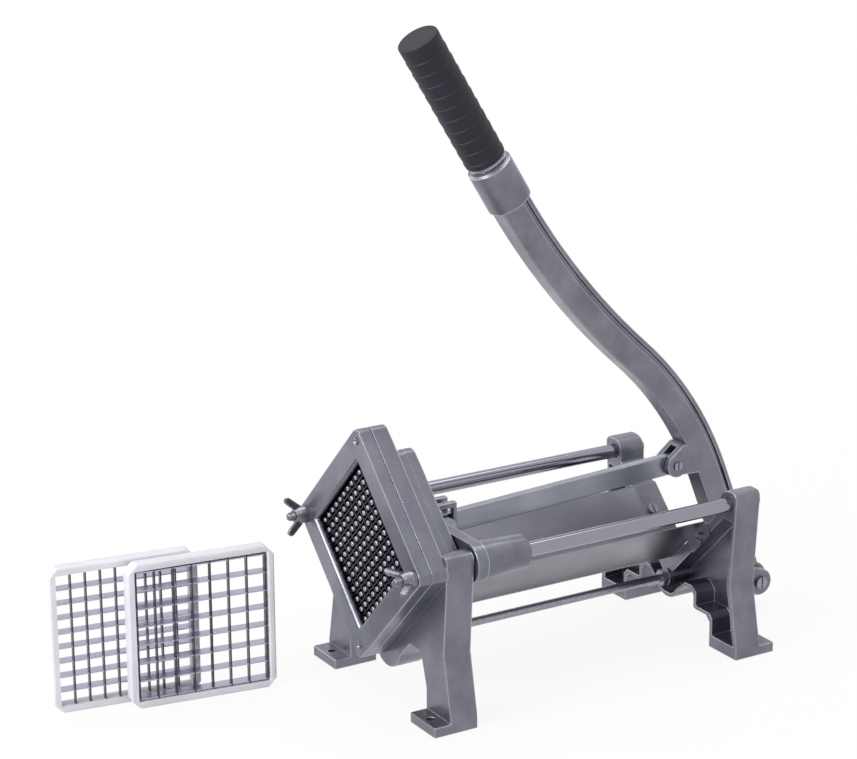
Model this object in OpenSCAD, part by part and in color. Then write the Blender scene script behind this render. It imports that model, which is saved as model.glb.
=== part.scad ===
// Table-top french fry cutter, long lever type, with two spare blade cartridges.
// Two cast frames stand on the table, joined by two guide rods, a tie rod and a
// V-shaped trough. A lever and a link drive a carriage with square rows of pegs
// through a blade cartridge that a clamp plate holds at the front.
// X runs across, with the near side at plus. Fries leave towards minus Y. Z is up.
// The origin is the centre of the four foot holes, on the table. Sizes are in mm.

/* [Frames] */
// Clear length between the front frame and the rear frame
frame_gap = 205; // [190:1:230]
// Depth of each frame casting along the rods
frame_depth = 20; // [16:0.5:26]
// Wall thickness of the frame castings
cast_wall = 4; // [3:0.5:5]
// Half the width across the feet
foot_x = 80; // [74:1:90]
// Half the gap between the two feet of a frame
foot_in = 49.5; // [44:0.5:54]
// Thickness of the foot pads
foot_t = 7; // [5:0.5:10]
// How far the foot pads reach past the frames
foot_reach = 12; // [10:0.5:16]
// Height to which the feet splay out
splay_z = 9; // [8:0.5:12]
// Half the width across the legs at knee height
knee_x = 71.4; // [68:0.2:74]
// Height of the knee of the legs
knee_z = 50; // [40:1:60]
// Half the width across the legs at rod height
leg_x = 76; // [74:0.5:80]
// Height of the shelf between the rear legs
shelf_z = 21.5; // [18:0.5:24]
// Height of the arch between the front legs and the front band
arch_z = 43.7; // [38:0.5:48]
// Half the spacing of the foot holes across the cutter
bolt_x = 65; // [62:0.5:68]
// Diameter of the foot holes
bolt_d = 5.5; // [4:0.5:7]

/* [Rods] */
// Half the spacing of the guide rods
rod_x = 67; // [64:0.5:70]
// Height of the guide rods
rod_z = 108; // [100:1:116]
// Diameter of the guide rods
rod_d = 10; // [8:0.5:12]
// Diameter of the bosses that hold the guide rods
rod_boss_d = 19; // [16:0.5:22]
// Height of the bottom of the V above the tie rod
tie_drop = 10.6; // [9:0.1:13]
// Diameter of the tie rod
tie_d = 6; // [5:0.5:8]
// Diameter of the boss around the tie rod
tie_boss_d = 11.8; // [10:0.2:14]
// Wall around the tie rod's boss in the front frame
front_lobe_wall = 10.6; // [9:0.2:11]
// Wall around the tie rod's boss in the rear frame
rear_lobe_wall = 9; // [7.6:0.2:9.6]
// Width across flats of the tie rod nuts
tie_nut_flats = 10; // [8:0.5:13]

/* [Head] */
// Height of the centre of the throat
head_z = 107; // [100:1:114]
// Side of the square throat tube, outside
throat_out = 86.9; // [84:0.1:90]
// Side of the square throat tube, inside
throat_in = 80.5; // [78:0.1:82]
// Corner radius of the throat tube, outside
throat_r = 8; // [6:0.5:10]
// Side of the square flange and clamp plate
plate_side = 113.7; // [110:0.1:120]
// Corner radius of the flange and clamp plate
plate_r = 6; // [4:0.5:9]
// Thickness of the flange
flange_t = 10.6; // [9:0.1:13]
// Thickness of the clamp plate
plate_t = 9.3; // [8:0.1:11]
// Thickness of the clamp plate's lip over the cartridge
plate_lip = 4; // [3:0.5:5]
// Side of the square mouth of the clamp plate
mouth_side = 80; // [77:0.5:82]
// Bevel around the mouth of the clamp plate
mouth_bevel = 1.7; // [1:0.1:2.5]
// Half the spacing of the clamp studs across the head
stud_x = 70; // [68:0.5:72]
// Diameter of the clamp studs
stud_d = 6; // [5:0.5:6]
// How far the clamp studs stand out of the clamp plate
stud_out = 13.5; // [12:0.5:18]
// Span of the wing nuts over their wings
wing_span = 26; // [22:0.5:28]
// Thickness of the wings
wing_t = 2.6; // [2:0.1:3.2]
// Turn of the left wing nut, from wings level
wing_turn_left = 78; // [0:1:90]
// Turn of the right wing nut, from wings level
wing_turn_right = 24; // [0:1:90]
// Diameter of the locating pins
pin_d = 5; // [4:0.5:6]

/* [Cartridges] */
// Side of a cartridge frame, outside
cart_side = 100; // [98:0.5:102]
// Thickness of a cartridge
cart_t = 10; // [8:0.5:11]
// Corner bevel of a cartridge frame
cart_bevel = 6.5; // [4:0.5:7]
// Side of the opening in a cartridge frame
cart_open = 90; // [86:0.5:92]
// Thickness of the blade strips
strip_t = 0.8; // [0.5:0.1:1.2]
// Depth of both layers of blade strips together
strip_depth = 8; // [6:0.5:9]
// Pitch of the fine blades and of the pusher pegs
fine_pitch = 7.4; // [7:0.1:7.6]
// Pitch of the medium blades
medium_pitch = 10; // [9:0.5:10]
// Pitch of the coarse blades
coarse_pitch = 12.5; // [12:0.1:12.8]

/* [Carriage] */
// Thickness of the carriage bar along the rods
bar_t = 8; // [6:0.5:10]
// Height of the carriage bar
bar_h = 26; // [22:0.5:30]
// Length of the sleeves on the rods
sleeve_l = 34; // [30:0.5:44]
// Outer diameter of a sleeve at its free end
sleeve_end_d = 22; // [20:0.5:24]
// Diameter of the pusher pegs
peg_d = 4; // [3.4:0.1:5.4]
// Length of the pusher pegs
peg_l = 14; // [12:0.5:20]
// Side of the pusher block
block_side = 79.2; // [74:0.2:79.4]
// Thickness of the pusher block
block_t = 6; // [5:0.5:9]
// Thickness of each lug of the carriage yoke
lug_t = 4.5; // [4:0.5:6]
// Height of the front pin
front_pin_z = 109.5; // [106:0.5:112]
// Diameter of the front pin
front_pin_d = 7; // [6:0.5:8]
// Height that the front pin needs in its slot above and below
slot_rise = 8.4; // [8.4:0.1:9]
// Length that the front pin needs in its slot each way
slot_play = 2; // [2:0.1:3]

/* [Lever] */
// Distance from the middle of the cutter back to the lever pivot
pivot_y = 171; // [168:0.5:174]
// Height of the lever pivot
pivot_z = 22; // [20:0.5:24]
// Height of the pin that joins the lever and the link
knuckle_z = 118; // [116:0.5:120]
// Width of the lever
lever_w = 16; // [14:0.5:18]
// Depth of the lever in front of its centre line
lever_front = 14; // [12:0.5:16]
// Depth of the lever's side face behind its centre line
lever_back = 2.5; // [2:0.5:4]
// Depth of the neck behind the side face
neck_t = 3.5; // [3:0.5:5]
// Depth of the rib along the back of the lever
rib_t = 3.2; // [3:0.2:4]
// Backward lean of the lower straight part
lower_lean = 21.3; // [18:0.1:24]
// Length of the lower straight part
lower_l = 91; // [80:1:96]
// Radius of the lower bend
bend_r = 254; // [240:1:270]
// Angle of the lower bend
bend_a = 26.6; // [24:0.1:28]
// Radius of the upper sweep
sweep_r = 540; // [500:5:580]
// Angle of the upper sweep
sweep_a = 16.6; // [15:0.1:18]
// Radius of the lever's pivot boss
pivot_boss_r = 12; // [11:0.5:13]
// Diameter of the pivot bolt
pivot_d = 6; // [5:0.5:7]
// Diameter of the collar under the grip
collar_d = 30; // [28:0.5:33]
// Length of the collar
collar_l = 28; // [24:0.5:32]
// Diameter of the grip
grip_d = 28; // [24:0.5:30]
// Length of the stub that shows between the collar and the grip
stub_out = 3.6; // [2:0.2:6]
// Length of the grip
grip_l = 95.6; // [85:0.2:110]
// Height of the link bar
link_h = 14; // [12:0.5:16]
// Thickness of the link bar
link_t = 6.4; // [5:0.2:6.6]

/* [Spare cartridges] */
// Place of the medium cartridge's middle across
medium_x = -78.2; // [-90:0.1:-70]
// Place of the medium cartridge's middle along
medium_y = -274.5; // [-300:0.5:-260]
// Place of the coarse cartridge's middle across
coarse_x = -58.2; // [-64:0.1:-50]
// Place of the coarse cartridge's middle along
coarse_y = -228.7; // [-235:0.5:-220]
// Angle of the spare cartridges to the length of the cutter
spare_turn = 8.1; // [7:0.1:10]

/* [Trough] */
// Thickness of the trough sheet
sheet_t = 1.2; // [0.8:0.1:2]
// Half the width across the trough's top edges
trough_x = 43; // [38:0.5:45]
// Inner radius of the trough's bottom bend
trough_bend = 8.8; // [7:0.2:11]
// Width of the trough's end tabs
tab_w = 10; // [8:0.5:11]
// Half the spacing of the screws in the end tabs
tab_screw_x = 39; // [36:0.5:40]
// Diameter of the small screws
screw_d = 4; // [3:0.5:4]
// Distance of the wall screws from the middle plane
wall_screw_x = 28.7; // [24:0.1:32]

/* [Hidden] */
$fn = 64;
eps = 0.01;
over = 1;
fit = 0.05;
gap = 0.3;
seat = 0.15;
wash_t = 1.2;
head_t = 2.2;
slot_t = 1;
head_share = 1.9;
thread_share = 0.75;
rod_fit = 0.02;
flange_step = 1.1;
ring_l = 7.5;
ring_t = 0.3;
lip_t = 3;
band_t = 8;
leg_round = 4.5;
tab_boss_wall = 2.5;
bar_clear = 1;
pin_behind = 11.5;
lug_wall = 3;
knuckle_behind = 1.5;
ear_gap = 2.5;
ear_t = 7;
rod_end = 2;
pin_out = 1;
pin_head_t = 2;
collar_sink = 3;
collar_bevel = 1.5;
sleeve_bevel = 1.6;
sleeve_step = 0.5;
grip_bevel = 0.8;
nut_h = 8;
root2 = sqrt(2);
half_gap = frame_gap / 2;
front_face = -half_gap - frame_depth;
rear_face = half_gap + frame_depth;
web_front = front_face + cast_wall;
web_rear = rear_face - cast_wall;
flange_front = front_face - flange_step - flange_t;
plate_back = flange_front;
plate_front = plate_back - plate_t;
cart_front = plate_front + plate_lip;
cart_back = cart_front + cart_t;
strip_front = cart_front + (cart_t - strip_depth) / 2;
strip_mid = strip_front + strip_depth / 2;
strip_back = strip_front + strip_depth;
throat_half = throat_out / root2;
inner_half = throat_in / root2;
bar_front = -half_gap + bar_clear;
bar_back = bar_front + bar_t;
peg_tip = cart_front + fit * 4;
block_front = peg_tip + peg_l;
pegs = 2 * floor((block_side - peg_d) / fine_pitch / 2) + 1;
front_pin_y = bar_back + pin_behind;
lug_in = link_t / 2 + gap;
lug_out = lug_in + lug_t;
slot_w = front_pin_d + 2 * (slot_play + gap);
slot_h = front_pin_d + 2 * (slot_rise + gap);
knuckle_y = half_gap + knuckle_behind;
knuckle_r = 8.2;
pin_screw_d = 5;
ear_in = lever_w / 2 + ear_gap;
ear_out = ear_in + ear_t;
ear_r = 9.5;
bush_t = 2;
sleeve_root_d = bar_h - 2 * sleeve_step;
front_lobe = tie_boss_d / 2 + front_lobe_wall;
rear_lobe = tie_boss_d / 2 + rear_lobe_wall;
throat_in_r = throat_r - (throat_out - throat_in) / 2;
v_z = head_z - throat_half;
tie_z = v_z - tie_drop;
stub_d = grip_d * 0.4;

cast_c = [0.62, 0.63, 0.66];
steel_c = [0.75, 0.76, 0.78];
blade_c = [0.83, 0.84, 0.86];
brass_c = [0.72, 0.58, 0.32];
black_c = [0.1, 0.1, 0.11];
white_c = [0.9, 0.9, 0.88];

// Slab between two places along the length, drawn in X and Z.
module along(y0, y1) {
    translate([0, y1, 0])
        rotate([90, 0, 0])
            linear_extrude(y1 - y0)
                children();
}

// Slab between two places across, drawn in Y and Z.
module across(x0, x1) {
    translate([x0, 0, 0])
        rotate([90, 0, 90])
            linear_extrude(x1 - x0)
                children();
}

// Round bar along the length.
module bar_y(d, x, z, y0, y1) {
    translate([x, y1, z])
        rotate([90, 0, 0])
            cylinder(d = d, h = y1 - y0);
}

// Round bar across.
module bar_x(d, y, z, x0, x1) {
    translate([x0, y, z])
        rotate([0, 90, 0])
            cylinder(d = d, h = x1 - x0);
}

// The same shape on both sides of the middle plane.
module both_sides() {
    children();
    mirror([1, 0, 0])
        children();
}

// Square with round corners.
module round_square(s, r) {
    square([s - 2 * r, s], center = true);
    square([s, s - 2 * r], center = true);
    for (i = [-1, 1], j = [-1, 1])
        translate([i * (s / 2 - r), j * (s / 2 - r)])
            circle(r);
}

// Square standing on its corner at the throat's centre.
module diamond(s, r) {
    translate([0, head_z])
        rotate(45)
            round_square(s, r);
}

// Outline of a cartridge, a square with bevelled corners.
module cart_shape(s, c) {
    h = s / 2;
    polygon([[-h + c, -h], [h - c, -h], [h, -h + c], [h, h - c],
        [h - c, h], [-h + c, h], [-h, h - c], [-h, -h + c]]);
}

// Points along an arc in 15 degree steps.
function arc(x, z, r, a0, a1) = [for (a = [a0 : 15 * sign(a1 - a0) : a1])
    [x + r * cos(a), z + r * sin(a)]];

// Top of a leg, squarer on its outer side, around the end of the guide rod.
function leg_top() = concat(
    arc(leg_x - leg_round, rod_z + rod_boss_d / 2 - leg_round, leg_round, 0, 90),
    arc(rod_x, rod_z, rod_boss_d / 2, 90, 180));

// Outline of the front frame's near half.
module front_half() {
    lobe = front_lobe;
    low = tie_z - lobe * root2;
    polygon([[-over, tie_z], [lobe * 0.62, tie_z - lobe * 0.62],
        [arch_z - low - lip_t, arch_z], [knee_z * 0.83, arch_z],
        [foot_in * 0.89, arch_z - cast_wall], [foot_in, shelf_z], [foot_in, 0], [foot_x, 0],
        [foot_x, splay_z], [knee_x, knee_z], each leg_top(), [-over, rod_z]]);
}

// Hollow of the front frame's near leg and band.
module front_hollow() {
    low = tie_z - front_lobe * root2 + cast_wall * root2;
    top = head_z - throat_half;
    start = tie_boss_d / 2 + cast_wall * 0.7;
    wall_x = knee_x - cast_wall;
    polygon([[start, low + start], [arch_z + cast_wall - low, arch_z + cast_wall],
        [knee_z * 0.84, arch_z + cast_wall], [foot_in * 0.89 + cast_wall, arch_z - cast_wall],
        [foot_in + cast_wall, shelf_z], [foot_in + cast_wall, splay_z],
        [foot_x - cast_wall, splay_z], [wall_x, knee_z], [leg_x - cast_wall, rod_z - rod_boss_d * 0.6],
        [rod_x - cast_wall * 2, rod_z - rod_boss_d * 0.6], [start, top + start]]);
}

// Outline of the rear frame's near half, with the seat of the trough on top.
module rear_half() {
    step_x = foot_in * 0.62;
    polygon([[-over, tie_z], [rear_lobe * 0.7, tie_z - rear_lobe * 0.6],
        [step_x * 0.72, tie_z - slot_t / 2], [step_x * 0.9, tie_z - slot_t / 2],
        [step_x, tie_z - cast_wall], [step_x, shelf_z + over], [step_x + lip_t, shelf_z],
        [foot_in - cast_wall, shelf_z], [foot_in, shelf_z - cast_wall], [foot_in, 0], [foot_x, 0],
        [foot_x, splay_z], [knee_x, knee_z], each leg_top(),
        [rod_x - rod_boss_d / 2, rod_z - rod_boss_d * 0.3], [trough_x + lip_t, v_z + trough_x],
        [trough_x, v_z + trough_x], [-over, v_z - over]]);
}

// The same points on the far side, in the other order.
function mirrored(points) = [for (i = [len(points) - 1 : -1 : 0]) [-points[i][0], points[i][1]]];

// Points around the near half of the rear frame's hollow, from low to high.
function rear_hollow_points() = let (step_x = foot_in * 0.62, low = v_z - band_t * root2) concat(
    arc(0, tie_z, rear_lobe - lip_t, -75, -30),
    [[step_x * 0.66, tie_z + lip_t * 0.8], [step_x * 0.95, tie_z + lip_t],
    [step_x + lip_t, tie_z - lip_t * 0.4], [step_x + lip_t, shelf_z + lip_t],
    [foot_in - over, shelf_z + lip_t], [foot_in + lip_t, shelf_z - over],
    [foot_in + lip_t, splay_z], [foot_x - cast_wall, splay_z], [knee_x - cast_wall, knee_z],
    [leg_x - cast_wall, rod_z - rod_boss_d * 0.6], [rod_x - cast_wall, rod_z - rod_boss_d * 0.6],
    [rear_lobe, low + rear_lobe]]);

// Hollow of the rear frame, open to the front, around the boss of the tie rod.
module rear_hollow() {
    low = v_z - band_t * root2;
    difference() {
        polygon(concat(rear_hollow_points(), [[0, low]], mirrored(rear_hollow_points())));
        translate([0, tie_z])
            circle(d = tie_boss_d);
    }
}

// Foot pad with its bolt hole, reaching past the frame by foot_reach.
module foot_pad(y0, y1) {
    translate([foot_in, y0, 0])
        cube([foot_x - foot_in, y1 - y0, foot_t]);
}

module foot_hole(y) {
    translate([bolt_x, y, -over])
        cylinder(d = bolt_d, h = splay_z + 2 * over);
}

// Both halves of an outline and the lobe around the tie rod.
module whole(lobe) {
    children();
    mirror([1, 0])
        children();
    translate([0, tie_z])
        circle(lobe);
}

module front_frame() {
    color(cast_c)
    difference() {
        union() {
            difference() {
                along(front_face, -half_gap)
                    whole(front_lobe)
                        front_half();
                both_sides()
                    along(web_front, -half_gap + over)
                        front_hollow();
            }
            both_sides() {
                foot_pad(front_face - foot_reach, -half_gap);
                bar_y(screw_d + 2 * tab_boss_wall, tab_screw_x, tab_z(), web_front - over, -half_gap);
            }
            along(flange_front, front_face)
                diamond(plate_side, plate_r);
            along(flange_front + over, -half_gap)
                diamond(throat_out, throat_r);
            along(-half_gap - ring_l, -half_gap)
                diamond(throat_out + 2 * ring_t, throat_r);
        }
        along(flange_front - over, -half_gap + over)
            diamond(throat_in, throat_in_r);
        along(flange_front - over, cart_back + seat)
            translate([0, head_z])
                rotate(45)
                    cart_shape(cart_side + 2 * gap, cart_bevel);
        bar_y(tie_d * thread_share, 0, tie_z, web_front, -half_gap + over);
        both_sides() {
            bar_y(rod_d + 2 * rod_fit, rod_x, rod_z, web_front, -half_gap + over);
            bar_y(screw_d * thread_share, tab_screw_x, tab_z(), web_front + over, -half_gap + over);
            foot_hole(front_face - foot_reach / 2);
            bar_y(stud_d, stud_x, head_z, flange_front - over, front_face + over);
            translate([0, 0, head_z - stud_x])
                bar_y(pin_d - fit, 0, 0, flange_front - over, flange_front + cast_wall);
            bar_y(pin_d - fit, 0, head_z + stud_x, flange_front - over, flange_front + cast_wall);
        }
    }
}

function tab_z() = v_z + tab_screw_x - tab_w * 0.75 - sheet_t;

// Places a shape at a wall screw, square to the seat of the trough.
module at_wall_screws() {
    both_sides()
        translate([wall_screw_x, half_gap + frame_depth * 0.36, v_z + wall_screw_x])
            rotate([0, -45, 0])
                children();
}

module ear() {
    reach = pivot_y - rear_face;
    difference() {
        across(ear_in, ear_out) {
            translate([pivot_y, pivot_z])
                circle(ear_r);
            polygon([[pivot_y, pivot_z - ear_r], [pivot_y + ear_r * 0.34, pivot_z + ear_r * 0.94],
                [rear_face + reach * 0.3, tie_z + ear_r * 0.9], [rear_face - over, tie_z + ear_r * 1.6],
                [rear_face - over, tie_z - ear_r], [rear_face + cast_wall, tie_z - ear_r * 1.4]]);
        }
        bar_x(pivot_d + 2 * fit, pivot_y, pivot_z, ear_in - over, ear_out + over);
    }
}

module rear_frame() {
    color(cast_c)
    difference() {
        union() {
            difference() {
                along(half_gap, rear_face)
                    whole(rear_lobe)
                        rear_half();
                along(half_gap - over, web_rear)
                    rear_hollow();
            }
            both_sides() {
                foot_pad(half_gap, rear_face + foot_reach);
                ear();
            }
        }
        both_sides() {
            bar_y(rod_d + 2 * rod_fit, rod_x, rod_z, half_gap - over, web_rear);
            bar_y(screw_d + 2 * fit, rod_x, rod_z, web_rear - over, rear_face + over);
            bar_y(screw_d * thread_share, tab_screw_x, tab_z(), half_gap - over, half_gap + frame_depth / 2);
            foot_hole(rear_face + foot_reach / 2);
        }
        at_wall_screws()
            translate([0, 0, -screw_d * 1.5])
                cylinder(d = screw_d * thread_share, h = screw_d * 1.5 + over);
        bar_y(tie_d + 2 * fit, 0, tie_z, half_gap - over, rear_face + over);
    }
}

module guide_rods() {
    color(steel_c)
    both_sides()
        difference() {
            bar_y(rod_d, rod_x, rod_z, web_front + seat, web_rear - fit);
            bar_y(screw_d, rod_x, rod_z, half_gap, web_rear);
        }
}

// Round-headed screw with a straight slot, head facing the way given by side.
module slot_head(d, h) {
    difference() {
        cylinder(d = d, h = h);
        translate([-d, -slot_t / 2, h - slot_t])
            cube([2 * d, slot_t, 2 * slot_t]);
    }
}

module rod_screws() {
    color(steel_c)
    both_sides() {
        bar_y(screw_d, rod_x, rod_z, half_gap + over, rear_face);
        translate([rod_x, rear_face, rod_z])
            rotate([-90, 0, 0])
                difference() {
                    cylinder(d = screw_d * head_share, h = screw_d);
                    translate([0, 0, screw_d * 0.4])
                        cylinder(d = screw_d * 0.9, h = screw_d, $fn = 6);
                }
    }
}

module tie_rod() {
    color(steel_c)
    bar_y(tie_d, 0, tie_z, -half_gap, rear_face + wash_t + tie_d + rod_end);
    color(steel_c)
    bar_y(tie_d * thread_share, 0, tie_z, web_front + seat, -half_gap + eps);
}

module tie_nut(y, way) {
    translate([0, y, tie_z])
        rotate([-90 * way, 0, 0])
            difference() {
                union() {
                    cylinder(d = tie_nut_flats * 1.2, h = wash_t);
                    cylinder(d = tie_nut_flats / cos(30), h = wash_t + tie_d * 0.8, $fn = 6);
                }
                translate([0, 0, -over])
                    cylinder(d = tie_d + eps, h = tie_d + 2 * over + wash_t);
            }
}

module tie_rod_nuts() {
    color(steel_c) {
        tie_nut(half_gap, -1);
        tie_nut(rear_face, 1);
    }
}

// Sheet folded to a V with a round bottom, between outside corner and top edges.
module trough_shape(low, t, r) {
    c = low + r * root2;
    along_share = r / root2;
    difference() {
        union() {
            polygon([[-trough_x, low + trough_x], [-along_share, low + along_share],
                [along_share, low + along_share], [trough_x, low + trough_x]]);
            translate([0, c])
                circle(r);
        }
        polygon([[-trough_x - over, low + trough_x + over + t * root2],
            [-along_share, c - r / root2 + t * root2], [0, c], [along_share, c - r / root2 + t * root2],
            [trough_x + over, low + trough_x + over + t * root2]]);
        translate([0, c])
            circle(r - t);
    }
}

module trough() {
    low = v_z;
    color(steel_c)
    difference() {
        union() {
            along(-half_gap, half_gap)
                trough_shape(low, sheet_t, trough_bend + sheet_t);
            both_sides()
                for (y = [-half_gap, half_gap - sheet_t])
                    along(y, y + sheet_t)
                        polygon([[trough_x * 0.55, low + trough_x * 0.55 + eps],
                            [trough_x, low + trough_x], [trough_x + tab_w / root2, low + trough_x - tab_w / root2],
                            [trough_x * 0.55 + tab_w / root2, low + trough_x * 0.55 - tab_w / root2]]);
        }
        both_sides()
            bar_y(screw_d + 2 * fit, tab_screw_x, tab_z(), -half_gap - over, half_gap + over);
    }
}

module small_screw(x, y, z, way) {
    translate([x, y, z])
        rotate([-90 * way, 0, 0]) {
            slot_head(screw_d * head_share, head_t);
            translate([0, 0, -screw_d * 1.5])
                cylinder(d = screw_d * thread_share, h = screw_d * 1.5 + slot_t);
        }
}

module trough_screws() {
    color(steel_c)
    both_sides() {
        small_screw(tab_screw_x, -half_gap + sheet_t, tab_z(), 1);
        small_screw(tab_screw_x, half_gap - sheet_t, tab_z(), -1);
    }
}

module wall_screws() {
    color(steel_c)
    at_wall_screws() {
        slot_head(screw_d * head_share, head_t);
        translate([0, 0, -screw_d * 1.5])
            cylinder(d = screw_d * thread_share, h = screw_d * 1.5 + slot_t);
    }
}

module clamp_studs() {
    color(steel_c)
    both_sides() {
        bar_y(stud_d, stud_x, head_z, plate_front - stud_out, front_face + over);
    }
}

module locating_pins() {
    color(steel_c)
    for (z = [head_z - stud_x, head_z + stud_x])
        bar_y(pin_d - fit, 0, z, plate_front - pin_out, flange_front + cast_wall);
}

module pivot_bolt() {
    color(steel_c) {
        bar_x(pivot_d, pivot_y, pivot_z, -ear_out - wash_t - pivot_d * 0.9 - rod_end, ear_out);
        translate([ear_out, pivot_y, pivot_z])
            rotate([0, 90, 0])
                slot_head(pivot_d * 1.5, head_t);
    }
}

module pivot_nut() {
    color(steel_c)
    translate([-ear_out, pivot_y, pivot_z])
        rotate([0, -90, 0])
            difference() {
                union() {
                    cylinder(d = pivot_d * 2, h = wash_t);
                    cylinder(d = pivot_d * 1.7 / cos(30), h = wash_t + pivot_d * 0.8, $fn = 6);
                }
                translate([0, 0, -over])
                    cylinder(d = pivot_d + eps, h = wash_t + pivot_d + 2 * over);
            }
}

module pivot_washers() {
    color(brass_c)
    both_sides()
        difference() {
            bar_x(pivot_boss_r * 1.6, pivot_y, pivot_z, lever_w / 2 + gap, ear_in);
            bar_x(pivot_d + 2 * fit, pivot_y, pivot_z, lever_w / 2, ear_in + over);
        }
}

module sleeve() {
    translate([rod_x, bar_back - eps, rod_z])
        rotate([-90, 0, 0]) {
            cylinder(d1 = sleeve_root_d, d2 = sleeve_end_d, h = sleeve_l - sleeve_bevel);
            translate([0, 0, sleeve_l - sleeve_bevel])
                cylinder(d1 = sleeve_end_d, d2 = sleeve_end_d - 2 * sleeve_bevel, h = sleeve_bevel);
        }
}

module carriage() {
    color(cast_c)
    difference() {
        union() {
            along(bar_front, bar_back) {
                translate([-rod_x, rod_z - bar_h / 2])
                    square([2 * rod_x, bar_h]);
                for (i = [-1, 1])
                    translate([i * rod_x, rod_z])
                        circle(d = bar_h);
            }
            both_sides() {
                sleeve();
                translate([lug_in, bar_back - eps, front_pin_z - slot_h / 2 - cast_wall])
                    cube([lug_t, front_pin_y + slot_w / 2 + lug_wall - bar_back, slot_h + 2 * cast_wall]);
            }
            along(block_front + block_t, bar_front + eps)
                diamond(block_side * 0.36, throat_r);
        }
        both_sides() {
            bar_y(rod_d + 2 * bush_t, rod_x, rod_z, bar_front - over, bar_back + sleeve_l + over);
            translate([lug_in - over, front_pin_y - slot_w / 2, front_pin_z - slot_h / 2])
                cube([lug_t + 2 * over, slot_w, slot_h]);
        }
        for (z = [head_z - pusher_screw_z(), head_z + pusher_screw_z()])
            bar_y(screw_d + 2 * fit, 0, z, block_front + block_t - over, bar_back + over);
    }
}

function pusher_screw_z() = bar_h * 0.33;

module slide_bushes() {
    color(brass_c)
    both_sides()
        difference() {
            bar_y(rod_d + 2 * bush_t, rod_x, rod_z, bar_front, bar_back + sleeve_l - 2 * seat);
            bar_y(rod_d + 2 * fit, rod_x, rod_z, bar_front - over, bar_back + sleeve_l);
        }
}

module pusher_block() {
    color(cast_c)
    difference() {
        union() {
            along(block_front, block_front + block_t)
                diamond(block_side, throat_in_r);
            translate([0, 0, head_z])
                rotate([0, 45, 0])
                    for (i = [0 : pegs - 1], j = [0 : pegs - 1])
                        bar_y(peg_d, (i - (pegs - 1) / 2) * fine_pitch, (j - (pegs - 1) / 2) * fine_pitch,
                            peg_tip, block_front + over);
        }
        for (z = [head_z - pusher_screw_z(), head_z + pusher_screw_z()])
            bar_y(screw_d * thread_share, 0, z, block_front + over, block_front + block_t + over);
    }
}

module pusher_screws() {
    color(steel_c)
    for (z = [head_z - pusher_screw_z(), head_z + pusher_screw_z()]) {
        bar_y(screw_d * thread_share, 0, z, block_front + over, bar_back);
        translate([0, bar_back, z])
            rotate([-90, 0, 0])
                slot_head(lug_in * 2 - gap, head_t);
    }
}

// Straight bar between the two link pins, drawn in Y and Z.
module link_shape() {
    dy = knuckle_y - front_pin_y;
    dz = knuckle_z - front_pin_z;
    translate([front_pin_y, front_pin_z])
        rotate(atan2(dz, dy)) {
            translate([0, -link_h / 2])
                square([norm([dy, dz]), link_h]);
            circle(d = link_h);
            translate([norm([dy, dz]), 0])
                circle(d = link_h);
        }
}

module link_bar() {
    color(steel_c)
    difference() {
        across(-link_t / 2, link_t / 2)
            link_shape();
        bar_x(front_pin_d + eps, front_pin_y, front_pin_z, -link_t, link_t);
        bar_x(pin_screw_d + 2 * fit, knuckle_y, knuckle_z, -link_t, link_t);
    }
}

module link_front_pin() {
    color(steel_c) {
        bar_x(front_pin_d, front_pin_y, front_pin_z, -lug_out - gap - over, lug_out + gap + over);
        both_sides()
            bar_x(front_pin_d * 2, front_pin_y, front_pin_z, lug_out + gap, lug_out + gap + pin_head_t);
    }
}

// Ring sector for a bend, from the straight line at its start.
module bend(r, a, o0, o1) {
    far = 2 * (r + o1);
    difference() {
        circle(r + o1, $fn = 360);
        circle(r + o0, $fn = 360);
        polygon([[0, 0], [far, 0], [far, -far], [-far, -far], [-far, far],
            [cos(a + 45) * far, sin(a + 45) * far], [cos(a) * far, sin(a) * far]]);
    }
}

// Strip that follows the lever's centre line, from offset o0 to o1 to the rear.
module lever_strip(o0, o1) {
    translate([pivot_y, pivot_z])
        rotate(lower_lean) {
            translate([o0, 0])
                square([o1 - o0, lower_l + eps]);
            translate([0, lower_l]) {
                translate([-bend_r, 0])
                    bend(bend_r, bend_a + asin(eps / bend_r), o0, o1);
                translate([-bend_r, 0])
                    rotate(bend_a)
                        translate([bend_r, 0])
                            translate([sweep_r, 0])
                                mirror([1, 0])
                                    bend(sweep_r, sweep_a, -o1, -o0);
            }
        }
}

// Place at the top of the lever's centre line, facing along it.
module lever_top() {
    translate([0, pivot_y, pivot_z])
        rotate([lower_lean, 0, 0])
            translate([0, 0, lower_l])
                translate([0, -bend_r, 0])
                    rotate([bend_a, 0, 0])
                        translate([0, bend_r + sweep_r, 0])
                            rotate([-sweep_a, 0, 0])
                                translate([0, -sweep_r, 0])
                                    children();
}

function lever_mid() = (lever_back + neck_t + rib_t - lever_front) / 2;

// Place in the knuckle, in shares of its radius from the pin.
function in_knuckle(shares) = [knuckle_y + shares[0] * knuckle_r, knuckle_z + shares[1] * knuckle_r];

// Outline of the ears on the lever that hold the link.
module knuckle_shape() {
    outline_shares = [[-0.62, 0.78], [0.55, 1.71], [1.7, 1.6], [2.3, -1], [0.5, -0.87]];
    translate([knuckle_y, knuckle_z])
        circle(knuckle_r);
    polygon([each [for (at = outline_shares) in_knuckle(at)], [knuckle_y, knuckle_z]]);
}

// Slot between the ears, open to the front for the whole swing of the link.
module knuckle_slot() {
    slot_shares = [[1.06, 0.5], [0.3, 1.44], [-0.4, 2.4], [-2.4, 0.9], [-3, -3], [-0.3, -2.8],
        [1.06, -0.45]];
    polygon([for (at = slot_shares) in_knuckle(at)]);
}

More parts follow.
